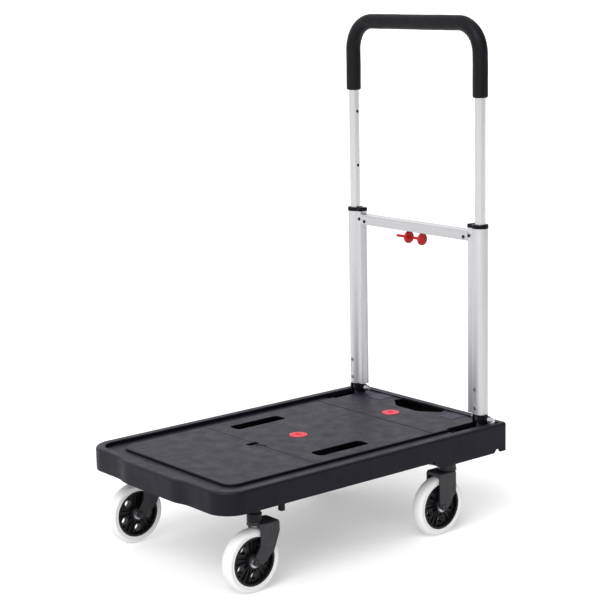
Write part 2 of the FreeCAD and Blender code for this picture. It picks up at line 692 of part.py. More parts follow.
def pull_rod():
    rod = rod_x(ROD_R, PLATE_X + PLATE_HALF, 150, AXIS_Y, PIN_Z)
    shoulder = rod_x(5.0, SPRING_OUTER_X, SPRING_OUTER_X + 3, AXIS_Y, PIN_Z)
    return fused([rod, shoulder])


def lock_pin():
    pin = rod_x(PIN_R, 141, AXIS_X - TUBE_R - 0.4, AXIS_Y, PIN_Z)
    tip = edges_at(pin, lambda e: e.BoundBox.XMin > AXIS_X - TUBE_R - 0.5)
    return pin.makeChamfer(0.7, tip).cut(rod_x(ROD_R, 100, 150, AXIS_Y, PIN_Z))


def rod_guide():
    guide = box(SPRING_INNER_X - 8, SPRING_INNER_X, AXIS_Y - BAR_HALF + BAR_WALL,
                AXIS_Y + BAR_HALF - BAR_WALL, BAR_BOTTOM + BAR_WALL + 1, BAR_TOP - BAR_WALL - 2.4)
    return guide.cut(rod_x(ROD_R + RUNNING, 0, 100, AXIS_Y, PIN_Z))


def spring():
    """Compression spring round the pull rod, wound as a helix along X."""
    turns_length = SPRING_OUTER_X - SPRING_INNER_X - 2.0
    helix = Part.makeHelix(4.0, turns_length, 3.6)
    profile = Part.Wire(Part.makeCircle(0.5, point(3.6, 0, 0), Y))
    coil = Part.Wire(helix).makePipeShell([profile], True, True)
    coil.rotate(point(0, 0, 0), Y, 90)
    coil.translate(point(SPRING_INNER_X + 1.0, AXIS_Y, PIN_Z))
    return coil


# ---------------------------------------------------------------- casters
def mount_plate(size, z_top):
    half_x, half_y = size
    return prism(rectangle(-half_x, half_x, -half_y, half_y, 6), z_top - PLATE_THICK, z_top)


def fork_side(corners, boss_y):
    side = plate_yz(corners, FORK_INNER, FORK_OUTER)
    side = side.fuse(rod_x(BOSS_R, FORK_INNER, FORK_OUTER, boss_y, WHEEL_R))
    return side.removeSplitter()


def front_fork():
    """Swivel fork about the origin's Z axis: a pressed crown with a nose round the kingpin."""
    mid = FRONT_FORK
    crown = prism(rectangle(-21.5, 21.5, mid - 22, mid + 22, 5), 122, CROWN_TOP)
    crown = crown.fuse(rod_z(15.0, CROWN_TOP - 4, CROWN_TOP, 0, 0)).removeSplitter()
    crown = crown.makeFillet(1.6, edges_at(crown, lambda e: e.BoundBox.ZMin > CROWN_TOP - 0.1))
    inside = prism(rectangle(-FORK_INNER, FORK_INNER, mid - 20, mid + 20, 3), 100, CROWN_TOP - 4)
    seat = rod_z(14.0, CROWN_TOP, CROWN_TOP + 3, 0, 0)
    outline = [(mid - 22, 131, 0), (mid + 22, 131, 0), (mid + 22, 113, 14), (mid + 9, 79, 20),
               (mid - 18, 55, 6), (FRONT_TRAIL, WHEEL_R, 0), (FRONT_TRAIL - 4.4, WHEEL_R + 5.6, 2),
               (mid - 22, 93, 14)]
    side = fork_side(outline, FRONT_TRAIL)
    fork = fused([crown.cut(inside), seat, side, mirrored(side)])
    fork = fork.cut(rod_z(KING_R + RUNNING, 100, 160, 0, 0))
    fork = fork.cut(rod_z(KING_FOOT_R + 0.5, 100, CROWN_TOP - 4, 0, 0))
    fork = fork.cut(rod_x(WHEEL_R + 2.5, -FORK_INNER, FORK_INNER, FRONT_TRAIL, WHEEL_R))
    return fork.cut(rod_x(AXLE_R, -40, 40, FRONT_TRAIL, WHEEL_R))


def rear_bracket():
    """Rigid bracket: mounting plate, neck, crown and fork sides, welded together."""
    mid = REAR_FORK
    plate = mount_plate(REAR_PLATE, REAR_MOUNT_TOP)
    neck = Part.makeCone(20.0, 17.5, REAR_MOUNT_TOP - 135, point(0, 0, 133), Z)
    crown = prism(rectangle(-21.5, 21.5, mid - 22.5, mid + 22.5, 5), 124, 134)
    crown = crown.makeFillet(2.0, edges_at(crown, lambda e: e.BoundBox.ZMin > 133.9))
    crown = crown.cut(prism(rectangle(-FORK_INNER, FORK_INNER, mid - 20, mid + 20, 3), 100, 130))
    outline = [(mid - 22.5, 131, 0), (mid + 22.5, 131, 0), (mid + 22.5, 91, 14),
               (mid - 1, 55, 8), (REAR_TRAIL, WHEEL_R, 0), (REAR_TRAIL - 8.9, WHEEL_R, 0),
               (mid - 22.5, 80, 0)]
    side = fork_side(outline, REAR_TRAIL)
    bracket = fused([plate, neck, crown, side, mirrored(side)])
    bracket = bracket.cut(rod_x(WHEEL_R + 2.5, -FORK_INNER, FORK_INNER, REAR_TRAIL, WHEEL_R))
    return bracket.cut(rod_x(AXLE_R, -40, 40, REAR_TRAIL, WHEEL_R))


def kingpin():
    foot_low = CROWN_TOP - 7.6
    foot_top = CROWN_TOP - 4.3
    pin = rod_z(KING_R, foot_top, FRONT_MOUNT_TOP + 4, 0, 0)
    foot = rod_z(KING_FOOT_R, foot_low, foot_top, 0, 0)
    foot = foot.makeFillet(1.4, edges_at(foot, lambda e: e.BoundBox.ZMax < foot_low + 0.1))
    head = rod_z(9.0, FRONT_MOUNT_TOP, FRONT_MOUNT_TOP + 4, 0, 0)
    return fused([pin, foot, head])


def swivel_housing():
    """Neck under the mounting plate: bearing cap at the bottom, waist and top flange."""
    low = CROWN_TOP + 3.3
    top = FRONT_MOUNT_TOP - PLATE_THICK
    outline = [(KING_R, low), (13.4, low), (14.4, low + 1), (14.4, low + 15), (12.0, low + 18),
               (12.0, top - 7), (17.5, top - 1.5), (17.5, top), (KING_R, top)]
    points = [point(radius, 0, z) for radius, z in outline]
    face = Part.Face(Part.makePolygon(points + [points[0]]))
    return face.revolve(point(0, 0, 0), Z, 360)


def tyre():
    """Solid tyre about the X axis, with a crowned tread."""
    left = point(-WHEEL_HALF, 0, SIDE_R)
    right = point(WHEEL_HALF, 0, SIDE_R)
    inner_left = point(-WHEEL_HALF, 0, CORE_R)
    inner_right = point(WHEEL_HALF, 0, CORE_R)
    edges = [Part.LineSegment(inner_left, left).toShape(),
             Part.Arc(left, point(0, 0, WHEEL_R), right).toShape(),
             Part.LineSegment(right, inner_right).toShape(),
             Part.LineSegment(inner_right, inner_left).toShape()]
    return Part.Face(Part.Wire(edges)).revolve(point(0, 0, 0), X, 360)


WEB_HOLES = 5
HUB_R = 14.5
HUB_HALF = 15.0
BEARING_R = 11.0
BEARING_WIDTH = 7.0


def wheel_core():
    """Moulded wheel centre about the X axis: rim, web with holes, ribs and hub."""
    rim = revolved_x([(-12.6, 43.6), (-12.6, CORE_R), (12.6, CORE_R), (12.6, 43.6)])
    web = revolved_x([(-2.5, 6.0), (-2.5, 45.0), (2.5, 45.0), (2.5, 6.0)])
    hub = revolved_x([(-HUB_HALF, 6.0), (-HUB_HALF, HUB_R - 1), (-HUB_HALF + 1, HUB_R),
                      (HUB_HALF - 1, HUB_R), (HUB_HALF, HUB_R - 1), (HUB_HALF, 6.0)])
    parts = [rim, web, hub]
    pitch = 360.0 / WEB_HOLES
    for i in range(WEB_HOLES):
        for part_angle in (18.0, 36.0, 54.0):
            rib = box(-7.0, 7.0, -1.0, 1.0, HUB_R - 1, 44.5)
            rib.rotate(point(0, 0, 0), X, 40 + i * pitch + part_angle)
            parts.append(rib)
    holes = []
    for i in range(WEB_HOLES):
        collar_piece = rod_x(9.4, -6.5, 6.5, 0, 30.5)
        hole = rod_x(7.2, -20, 20, 0, 30.5)
        for piece in (collar_piece, hole):
            piece.rotate(point(0, 0, 0), X, 40 + i * pitch)
        parts.append(collar_piece)
        holes.append(hole)
    core = fused(parts)
    for hole in holes:
        core = core.cut(hole)
    for sign in (-1, 1):
        seat = rod_x(BEARING_R, sign * (HUB_HALF - BEARING_WIDTH), sign * (HUB_HALF + 5), 0, 0)
        core = core.cut(seat)
    return core


def bearings():
    """The two ball bearings pressed into the hub, each with a recessed shield."""
    pair = []
    for sign in (-1, 1):
        inner = HUB_HALF - BEARING_WIDTH
        profile = [(sign * inner, AXLE_R + RUNNING), (sign * inner, BEARING_R),
                   (sign * HUB_HALF, BEARING_R), (sign * HUB_HALF, 9.4),
                   (sign * (HUB_HALF - 0.5), 9.4), (sign * (HUB_HALF - 0.5), 6.2),
                   (sign * HUB_HALF, 6.2), (sign * HUB_HALF, AXLE_R + RUNNING)]
        pair.append(revolved_x(profile))
    return pair


def axle():
    """Axle bolt along X with its dome head outward (+X), nut and two spacers."""
    shank = rod_x(AXLE_R, -FORK_OUTER - 8, FORK_OUTER, 0, 0)
    head = rod_x(5.6, FORK_OUTER, FORK_OUTER + 4, 0, 0)
    head = head.makeFillet(1.8, edges_at(head, lambda e: e.BoundBox.XMin > FORK_OUTER + 3.9))
    head = head.cut(rod_x(2.3, FORK_OUTER + 2, FORK_OUTER + 9, 0, 0))
    nut = hexagon_x(11.5, -FORK_OUTER - 6.5, -FORK_OUTER, 0, 0).cut(shank)
    spacers = [rod_x(6.0, sign * (HUB_HALF + 0.3), sign * FORK_INNER, 0, 0).cut(shank)
               for sign in (-1, 1)]
    return [fused([shank, head]), nut] + spacers


def placed(shape, x, y, z, sign):
    copy = for_side(shape, sign)
    copy.translate(point(x, y, z))
    return copy


def make_casters():
    screws = group(caster_screws())
    shapes = {"wheel_core": wheel_core(), "tyre": tyre(), "bearings": group(bearings()),
              "axle": group(axle())}
    plate = mount_plate(FRONT_PLATE, FRONT_MOUNT_TOP).cut(rod_z(KING_R, 100, 200, 0, 0))
    fork = front_fork()
    bracket = rear_bracket()
    pin = kingpin()
    housing = swivel_housing()
    for name, x, y, top, sign in caster_places():
        front = name.startswith("front")
        trail = FRONT_TRAIL if front else REAR_TRAIL
        for part_name, shape in shapes.items():
            save(part_name + "_" + name, placed(shape, x, y + trail, WHEEL_R, sign))
        if front:
            save("mount_plate_" + name, placed(plate, x, y, 0, sign).cut(screws))
            save("fork_" + name, placed(fork, x, y, 0, sign))
            save("kingpin_" + name, placed(pin, x, y, 0, sign))
            save("swivel_housing_" + name, placed(housing, x, y, 0, sign))
        else:
            save("bracket_" + name, placed(bracket, x, y, 0, sign).cut(screws))
    save("caster_screws", screws)


# ---------------------------------------------------------------- write the parts
def make_deck():
    save("deck", deck())
    save("badge_middle", badge(BADGE_YS[0]))
    save("badge_rear", badge(BADGE_YS[1]))
    save("bracket_screws", group(bracket_screws()))


def make_handle():
    rivet_set = group(rivets())
    screw_set = group(bar_screws())
    for name, sign in SIDES:
        bolt = pivot_bolt(sign * AXIS_X)
        bolt_hole = rod_x(AXLE_R, -260, 260, AXIS_Y, PIVOT_Z)
        bracket = for_side(hinge_bracket(), sign).cut(group(bracket_screws()))
        save("hinge_bracket_" + name, bracket)
        foot = fused([for_side(pivot_foot(), sign), foot_boss(sign * AXIS_X)])
        foot = foot.cut(bolt_hole).cut(rivet_set)
        save("pivot_foot_" + name, foot)
        save("pivot_bolt_" + name, group(bolt))
        save("post_" + name, for_side(post(), sign).cut(rivet_set).cut(screw_set))
        save("collar_" + name, for_side(collar(), sign))
        save("glide_bush_" + name, for_side(glide_bush(), sign))
        save("release_plate_" + name, release_plate(sign))
        save("pull_rod_" + name, for_side(pull_rod(), sign))
        save("lock_pin_" + name, for_side(lock_pin(), sign))
        save("spring_" + name, for_side(spring(), sign))
    save("rivets", rivet_set)
    save("crossbar", crossbar().cut(screw_set))
    save("crossbar_plugs", group(bar_plugs()).cut(screw_set))
    save("crossbar_screws", screw_set)
    save("rod_guides", group([for_side(rod_guide(), sign) for name, sign in SIDES]))
    save("handle_tube", handle_tube())
    save("foam_grip", foam_grip())


os.makedirs("parts", exist_ok=True)
make_deck()
make_handle()
make_casters()
print("wrote", len(os.listdir("parts")), "files")
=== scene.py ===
import json
import math
import random

import bmesh
import bpy
from mathutils import Matrix, Vector


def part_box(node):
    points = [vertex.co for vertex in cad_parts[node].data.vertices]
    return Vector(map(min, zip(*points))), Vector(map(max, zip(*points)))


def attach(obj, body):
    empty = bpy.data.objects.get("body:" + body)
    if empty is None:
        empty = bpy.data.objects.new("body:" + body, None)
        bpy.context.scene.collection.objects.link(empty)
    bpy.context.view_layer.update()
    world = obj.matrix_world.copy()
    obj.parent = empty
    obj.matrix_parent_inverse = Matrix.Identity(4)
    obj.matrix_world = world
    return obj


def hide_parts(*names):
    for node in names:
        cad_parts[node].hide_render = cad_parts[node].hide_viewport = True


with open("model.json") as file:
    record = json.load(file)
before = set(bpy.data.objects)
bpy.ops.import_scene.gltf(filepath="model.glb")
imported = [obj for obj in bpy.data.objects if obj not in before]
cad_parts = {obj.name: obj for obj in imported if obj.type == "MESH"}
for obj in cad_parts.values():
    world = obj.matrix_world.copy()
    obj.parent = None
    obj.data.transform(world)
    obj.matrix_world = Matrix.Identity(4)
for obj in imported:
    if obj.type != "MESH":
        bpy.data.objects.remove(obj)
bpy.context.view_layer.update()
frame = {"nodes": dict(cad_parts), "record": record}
NODES = frame["nodes"]

# The folding platform cart's looks, in metres: +Z up, +Y towards the handle.
MM = 0.001
SKIN = 0.02 * MM        # how far the tyres stay inside the CAD's surfaces
WHEELS = ("front_left", "front_right", "rear_left", "rear_right")
PANEL_TOP = frame["record"]["mounts"][0]["pos_m"][2]

# The deck's openings: the range of the distance from the middle plane, the range of y and
# the height below which their walls get painted shade.
WALL_TOP = PANEL_TOP - 0.4 * MM
HAND_SLOTS = ((0.099, 0.164), (-0.080, 0.076), WALL_TOP)
CARRY_HOLE = ((-0.001, 0.094), (0.285, 0.3665), WALL_TOP)
FOOT_POCKETS = ((0.172, 0.212), (0.246, 0.350), PANEL_TOP - 6.1 * MM)
FINGER_HOLE = ((-0.001, 0.021), (-0.124, -0.094), PANEL_TOP - 2.0 * MM)
# The middle of each rubbed pad: its distance from the middle plane, and y.
RUBBED_PADS = (0.113, 0.327)


# ---------------------------------------------------------------- node helpers
class Surface:
    """A material and short ways to add the nodes that give it detail."""

    # a colour Mix node's sockets
    MIX_FACTOR = 0
    MIX_FIRST = 6
    MIX_SECOND = 7
    MIX_RESULT = 2

    def __init__(self, name, colour, roughness, metallic=0.0, specular=0.5):
        self.material = bpy.data.materials.new(name)
        self.material.use_nodes = True
        self.material.diffuse_color = (*colour, 1.0)
        self.tree = self.material.node_tree
        self.shader = self.tree.nodes["Principled BSDF"]
        self.shader.inputs["Base Color"].default_value = (*colour, 1.0)
        self.shader.inputs["Roughness"].default_value = roughness
        self.shader.inputs["Metallic"].default_value = metallic
        self.shader.inputs["Specular IOR Level"].default_value = specular
        self.colour = colour
        self.roughness = roughness
        self.place = self.tree.nodes.new("ShaderNodeTexCoord").outputs["Object"]
        self.normal = None

    def node(self, kind, **settings):
        made = self.tree.nodes.new(kind)
        for key, value in settings.items():
            setattr(made, key, value)
        return made

    def link(self, source, target):
        self.tree.links.new(source, target)

    def coordinates(self, stretch=(1, 1, 1)):
        mapping = self.node("ShaderNodeMapping")
        mapping.inputs["Scale"].default_value = stretch
        self.link(self.place, mapping.inputs["Vector"])
        return mapping.outputs["Vector"]

    def noise(self, size, detail=3.0, roughness=0.55, stretch=(1, 1, 1), distortion=0.0):
        """Noise whose features are about size metres across."""
        made = self.node("ShaderNodeTexNoise")
        made.inputs["Scale"].default_value = 1.0 / size
        made.inputs["Detail"].default_value = detail
        made.inputs["Roughness"].default_value = roughness
        made.inputs["Distortion"].default_value = distortion
        self.link(self.coordinates(stretch), made.inputs["Vector"])
        return made.outputs["Fac"]

    def cells(self, size, feature="F1", stretch=(1, 1, 1)):
        made = self.node("ShaderNodeTexVoronoi", feature=feature)
        made.inputs["Scale"].default_value = 1.0 / size
        self.link(self.coordinates(stretch), made.inputs["Vector"])
        return made.outputs["Distance"]

    def fit(self, value, low, high, to_low, to_high):
        made = self.node("ShaderNodeMapRange", clamp=True)
        self.link(value, made.inputs["Value"])
        made.inputs["From Min"].default_value = low
        made.inputs["From Max"].default_value = high
        made.inputs["To Min"].default_value = to_low
        made.inputs["To Max"].default_value = to_high
        return made.outputs["Result"]

    def combine(self, operation, first, second):
        made = self.node("ShaderNodeMath", operation=operation)
        for slot_index, value in enumerate((first, second)):
            if isinstance(value, (int, float)):
                made.inputs[slot_index].default_value = value
            else:
                self.link(value, made.inputs[slot_index])
        return made.outputs["Value"]

    def inside(self, span_x, span_y, top):
        """1 below the height top where the distance from the middle plane and y are in range."""
        axes = self.node("ShaderNodeSeparateXYZ")
        self.link(self.place, axes.inputs["Vector"])
        aside = self.combine("ABSOLUTE", axes.outputs["X"], 0.0)
        mask = self.fit(axes.outputs["Z"], top - 1.2 * MM, top, 1.0, 0.0)
        for value, (low, high) in ((aside, span_x), (axes.outputs["Y"], span_y)):
            mask = self.combine("MULTIPLY", mask, self.combine("GREATER_THAN", value, low))
            mask = self.combine("MULTIPLY", mask, self.combine("LESS_THAN", value, high))
        return mask

    def patch(self, centre, full, edge):
        """1 within full metres of the two mirrored centres, fading to 0 at edge."""
        axes = self.node("ShaderNodeSeparateXYZ")
        self.link(self.place, axes.inputs["Vector"])
        aside = self.combine("ABSOLUTE", axes.outputs["X"], 0.0)
        mask = 1.0
        for value, middle in ((aside, centre[0]), (axes.outputs["Y"], centre[1])):
            away = self.combine("ABSOLUTE", self.combine("SUBTRACT", value, middle), 0.0)
            mask = self.combine("MULTIPLY", mask, self.fit(away, full, edge, 1.0, 0.0))
        return mask

    def facing(self, axis):
        """How far a face looks along one of the object's axes, from -1 to 1."""
        split = self.node("ShaderNodeSeparateXYZ")
        self.link(self.node("ShaderNodeTexCoord").outputs["Normal"], split.inputs["Vector"])
        return split.outputs[axis]

    def tint(self, factor, other):
        """Mixes the colour so far towards other by factor."""
        made = self.node("ShaderNodeMix", data_type="RGBA")
        base = self.shader.inputs["Base Color"]
        if base.links:
            self.link(base.links[0].from_socket, made.inputs[self.MIX_FIRST])
        else:
            made.inputs[self.MIX_FIRST].default_value = (*self.colour, 1.0)
        made.inputs[self.MIX_SECOND].default_value = (*other, 1.0)
        self.link(factor, made.inputs[self.MIX_FACTOR])
        self.link(made.outputs[self.MIX_RESULT], base)

    def shade(self, pattern, low, high, amount, factor):
        """Multiplies the colour by factor where pattern is high, fading from none at low to
        amount of it at high."""
        self.tint(self.fit(pattern, low, high, 0.0, amount), scaled(self.colour, factor))

    def vary_roughness(self, factor, spread):
        low = self.roughness - spread
        high = self.roughness + spread
        self.link(self.fit(factor, 0.3, 0.7, low, high), self.shader.inputs["Roughness"])

    def bump(self, height, depth, strength=1.0):
        """Adds relief about depth metres deep."""
        made = self.node("ShaderNodeBump")
        made.inputs["Strength"].default_value = strength
        made.inputs["Distance"].default_value = depth
        self.link(height, made.inputs["Height"])
        if self.normal is not None:
            self.link(self.normal, made.inputs["Normal"])
        self.normal = made.outputs["Normal"]
        self.link(self.normal, self.shader.inputs["Normal"])


def scaled(colour, factor):
    return tuple(min(1.0, channel * factor) for channel in colour)


# ---------------------------------------------------------------- materials
COOL_GLOSS = (0.94, 0.91, 1.0, 1.0)


def deck_plastic():
    """Charcoal polypropylene with spark-eroded grain, handling scuffs and dust."""
    made = Surface("deck_plastic", (0.0086, 0.0076, 0.0150), 0.50, specular=0.26)
    made.shader.inputs["Specular Tint"].default_value = COOL_GLOSS
    made.shade(made.noise(0.12, 4), 0.35, 0.7, 0.55, 1.4)
    made.shade(made.noise(0.02, 6, 0.7), 0.5, 0.75, 0.35, 0.7)
    scuffs = made.noise(0.006, 5, 0.7, stretch=(1.0, 0.12, 1.0), distortion=0.6)
    made.shade(scuffs, 0.66, 0.78, 0.30, 5.0)
    cross_scuffs = made.noise(0.007, 5, 0.7, stretch=(0.10, 1.0, 1.0), distortion=0.4)
    made.shade(cross_scuffs, 0.68, 0.80, 0.25, 4.5)
    # the two pads before the rear edge are rubbed lighter
    pads = made.patch(RUBBED_PADS, 14 * MM, 30 * MM)
    rubbed = made.fit(made.noise(0.014, 6, 0.75, distortion=0.5), 0.38, 0.68, 0.0, 0.75)
    made.tint(made.combine("MULTIPLY", pads, rubbed), scaled(made.colour, 7.0))
    # painted shade: faces that look sideways are painted darker than the top
    sideways = made.fit(made.facing("Z"), 0.25, 0.75, 1.0, 0.0)
    made.tint(made.combine("MULTIPLY", sideways, 0.75), scaled(made.colour, 0.25))
    # painted shade: the walls of the openings are painted near black below the top
    painted_wall_shade = made.inside(*HAND_SLOTS)
    for opening in (CARRY_HOLE, FOOT_POCKETS, FINGER_HOLE):
        painted_wall_shade = made.combine("MAXIMUM", painted_wall_shade, made.inside(*opening))
    made.tint(painted_wall_shade, (0.0012, 0.0012, 0.0016))
    # the painted shade also lowers the gloss on sideways faces and on the opening walls
    dull = made.combine("MAXIMUM", made.combine("MULTIPLY", sideways, 0.35), painted_wall_shade)
    made.link(made.fit(dull, 0.0, 1.0, 0.26, 0.03), made.shader.inputs["Specular IOR Level"])
    made.vary_roughness(made.noise(0.03, 5), 0.07)
    made.bump(made.noise(0.0011, 2, 0.6), 0.22 * MM, 0.55)
    made.bump(made.noise(0.045, 2), 0.6 * MM, 0.35)
    return made.material


def black_plastic():
    """Satin black nylon: collars, feet and blocks."""
    made = Surface("black_plastic", (0.0030, 0.0030, 0.0038), 0.42, specular=0.09)
    made.shade(made.noise(0.012, 4), 0.45, 0.75, 0.6, 2.2)
    made.vary_roughness(made.noise(0.01, 4), 0.08)
    made.bump(made.noise(0.0008, 2), 0.12 * MM, 0.5)
    return made.material


def wheel_core_black():
    """Moulded polypropylene with a faint flow pattern."""
    made = Surface("wheel_core_black", (0.0042, 0.0042, 0.0050), 0.42, specular=0.30)
    made.shade(made.noise(0.02, 5), 0.45, 0.8, 0.5, 2.4)
    made.vary_roughness(made.noise(0.015, 4), 0.10)
    made.bump(made.noise(0.0015, 3), 0.18 * MM, 0.45)
    return made.material


def red_plastic(name, colour, roughness):
    """Red acetal with a thin gloss, a little darker in patches."""
    made = Surface(name, colour, roughness, specular=0.25)
    made.shade(made.noise(0.009, 3), 0.4, 0.75, 0.5, 0.78)
    made.vary_roughness(made.noise(0.006, 4), 0.07)
    made.bump(made.noise(0.001, 2), 0.08 * MM, 0.4)
    made.shader.inputs["Coat Weight"].default_value = 0.05
    made.shader.inputs["Coat Roughness"].default_value = 0.22
    return made.material


def coated_steel(name, colour, specular):
    """Powder coat: orange peel, a little dust and rubbed spots."""
    made = Surface(name, colour, 0.44, specular=specular)
    made.shade(made.noise(0.03, 5), 0.45, 0.75, 0.6, 1.6)
    made.shade(made.noise(0.004, 6, 0.75), 0.68, 0.8, 0.35, 3.0)
    made.vary_roughness(made.noise(0.02, 4), 0.08)
    made.bump(made.noise(0.0016, 2), 0.2 * MM, 0.45)
    return made.material


def zinc_steel(name, colour, roughness):
    """Zinc plating with faint spangle and rub marks."""
    made = Surface(name, colour, roughness, metallic=1.0)
    made.shade(made.cells(0.004), 0.1, 0.8, 0.5, 0.76)
    made.shade(made.noise(0.006, 5), 0.6, 0.8, 0.5, 0.5)
    made.vary_roughness(made.noise(0.005, 4), 0.10)
    made.bump(made.noise(0.0009, 3), 0.08 * MM, 0.4)
    return made.material


def anodised(name, colour, roughness, stretch, top=1.0):
    """Silver anodised aluminium with drawing lines along the piece; faces that look up are
    painted top times as light, a painted highlight."""
    made = Surface(name, colour, roughness, metallic=1.0)
    # painted highlight: faces that look up are made lighter
    if top != 1.0:
        made.shade(made.facing("Z"), 0.4, 0.8, 1.0, top)
    lines = made.noise(0.0011, 3, 0.6, stretch=stretch)
    broad_lines = made.noise(0.009, 3, 0.5, stretch=stretch)
    made.shade(lines, 0.35, 0.75, 0.45, 0.84)
    made.shade(broad_lines, 0.45, 0.75, 0.40, 0.88)
    made.shade(made.noise(0.011, 6, 0.75, distortion=0.8), 0.66, 0.80, 0.25, 0.6)
    made.vary_roughness(lines, 0.06)
    made.bump(lines, 0.1 * MM, 0.5)
    made.shader.inputs["Anisotropic"].default_value = 0.35
    return made.material


def tyre_white():
    """Off-white rubber, a little dusty on its tread, with painted shade that greys the tread."""
    made = Surface("tyre_white", (0.74, 0.74, 0.735), 0.48, specular=0.4)
    made.shade(made.noise(0.02, 5), 0.45, 0.8, 0.5, 0.9)
    made.shade(made.noise(0.0045, 6, 0.75), 0.66, 0.82, 0.40, 0.68)
    # painted shade makes the tread greyer than the side walls; the tread is also speckled with
    # grit
    aside = made.combine("ABSOLUTE", made.facing("X"), 0.0)
    tread = made.fit(aside, 0.35, 0.75, 1.0, 0.0)
    made.tint(made.combine("MULTIPLY", tread, 0.8), scaled(made.colour, 0.84))
    grit = made.fit(made.noise(0.0022, 5, 0.8), 0.56, 0.70, 0.0, 0.6)
    made.tint(made.combine("MULTIPLY", tread, grit), scaled(made.colour, 0.62))
    made.vary_roughness(made.noise(0.012, 4), 0.09)
    made.bump(made.noise(0.0018, 4), 0.18 * MM, 0.4)
    made.shader.inputs["Subsurface Weight"].default_value = 0.06
    made.shader.inputs["Subsurface Radius"].default_value = (4 * MM, 4 * MM, 3.5 * MM)
    return made.material


def foam_black():
    """Closed-cell foam: a skin of fine pits and soft dents."""
    made = Surface("foam_black", (0.0042, 0.0040, 0.0054), 0.52, specular=0.14)
    made.shader.inputs["Specular Tint"].default_value = COOL_GLOSS
    made.shade(made.noise(0.03, 4), 0.4, 0.75, 0.6, 1.6)
    made.shade(made.cells(0.0016), 0.35, 0.8, 0.35, 0.5)
    made.vary_roughness(made.noise(0.02, 4), 0.10)
    made.bump(made.cells(0.0013), 0.22 * MM, 0.55)
    made.bump(made.noise(0.012, 3), 0.7 * MM, 0.35)
    made.shader.inputs["Sheen Weight"].default_value = 0.015
    made.shader.inputs["Sheen Roughness"].default_value = 0.5
    return made.material


BADGE_RED = red_plastic("badge_red", (0.66, 0.020, 0.050), 0.42)
RELEASE_RED = red_plastic("release_red", (0.36, 0.002, 0.004), 0.38)
# stretches that draw a pattern out along one axis
ALONG_Z = (1.0, 1.0, 0.012)
ALONG_X = (0.012, 1.0, 1.0)
POST_METAL = anodised("post_aluminium", (0.61, 0.61, 0.622), 0.50, ALONG_Z)
# the crossbar's upward faces get a painted highlight
BAR_METAL = anodised("crossbar_aluminium", (0.53, 0.53, 0.545), 0.38, ALONG_X, top=1.6)
SLOT_MATERIALS = {
    "deck_plastic": deck_plastic(),
    "red_plastic": RELEASE_RED,
    "black_plastic": black_plastic(),
    "black_steel": coated_steel("black_steel", (0.022, 0.021, 0.026), 0.32),
    "zinc_steel": zinc_steel("zinc_steel", (0.55, 0.55, 0.58), 0.36),
    "post_aluminium": POST_METAL,
    "tube_aluminium": anodised("tube_aluminium", (0.575, 0.58, 0.592), 0.28, ALONG_Z),
    "tyre_white": tyre_white(),
    "wheel_core_black": wheel_core_black(),
    "foam_black": foam_black(),
}
DARK_STEEL = coated_steel("dark_steel", (0.008, 0.008, 0.010), 0.16)
# nodes that look different from the rest of their slot
NODE_MATERIALS = {
    "crossbar": BAR_METAL,
    "badge_middle": BADGE_RED,
    "badge_rear": BADGE_RED,
    "rivets": zinc_steel("dull_zinc", (0.24, 0.24, 0.25), 0.50),
    "crossbar_screws": DARK_STEEL,
    "swivel_housing_front_left": DARK_STEEL,
    "swivel_housing_front_right": DARK_STEEL,
}


def dress_cad_nodes():
    for part in frame["record"]["subparts"]:
        name = part["node"]
        material = NODE_MATERIALS.get(name, SLOT_MATERIALS[part["material_slot"]])
        mesh = NODES[name].data
        mesh.materials.clear()
        mesh.materials.append(material)


# ---------------------------------------------------------------- mesh helpers
def add_piece(name, mesh, slot_name, body):
    piece = bpy.data.objects.new(name, mesh)
    bpy.context.scene.collection.objects.link(piece)
    mesh.materials.append(SLOT_MATERIALS[slot_name])
    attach(piece, body)
    return piece


def rings_to_mesh(name, rings, closed):
    """Skins a list of equal-sized rings of points, joining the last to the first if closed."""
    work = bmesh.new()
    rows = [[work.verts.new(point) for point in ring] for ring in rings]
    count = len(rows)
    around = len(rows[0])
    for i in range(count if closed else count - 1):
        first = rows[i]
        second = rows[(i + 1) % count]
        for j in range(around):
            k = (j + 1) % around
            work.faces.new((first[j], first[k], second[k], second[j]))
    bmesh.ops.recalc_face_normals(work, faces=work.faces)
    mesh = bpy.data.meshes.new(name)
    work.to_mesh(mesh)
    work.free()
    for face in mesh.polygons:
        face.use_smooth = True
    return mesh


# ---------------------------------------------------------------- tyres
def tyre_profile(half_width, inner, outer):
    """Closed outline (x, radius) of a solid tyre: lip, dished side wall, tread crowned in
    one arc and the mould's parting ridge."""
    corner = 0.7 * MM
    dish = 0.5 * MM
    dish_edges = (inner + 2.2 * MM, inner + 4.4 * MM)
    dish_floor = (inner + 2.9 * MM, inner + 3.6 * MM)
    rise = 6.5 * MM
    crown_radius = (half_width ** 2 + rise ** 2) / (2 * rise)
    ridge_half = 0.35 * MM
    ridge_height = 0.12 * MM
    side = [(half_width - corner, inner), (half_width, inner + corner),
            (half_width, dish_edges[0]), (half_width - dish, dish_floor[0]),
            (half_width - dish, dish_floor[1]), (half_width, dish_edges[1]),
            (half_width, outer - rise - corner)]
    steps = 14
    edge = half_width - 0.4 * MM
    for i in range(steps):
        x = edge + (2 * ridge_half - edge) * i / (steps - 1)
        drop = crown_radius - math.sqrt(crown_radius ** 2 - x ** 2)
        side.append((x, outer - ridge_height - drop))
    side.append((ridge_half, outer))
    other = [(-x, radius) for x, radius in reversed(side)]
    return side + other


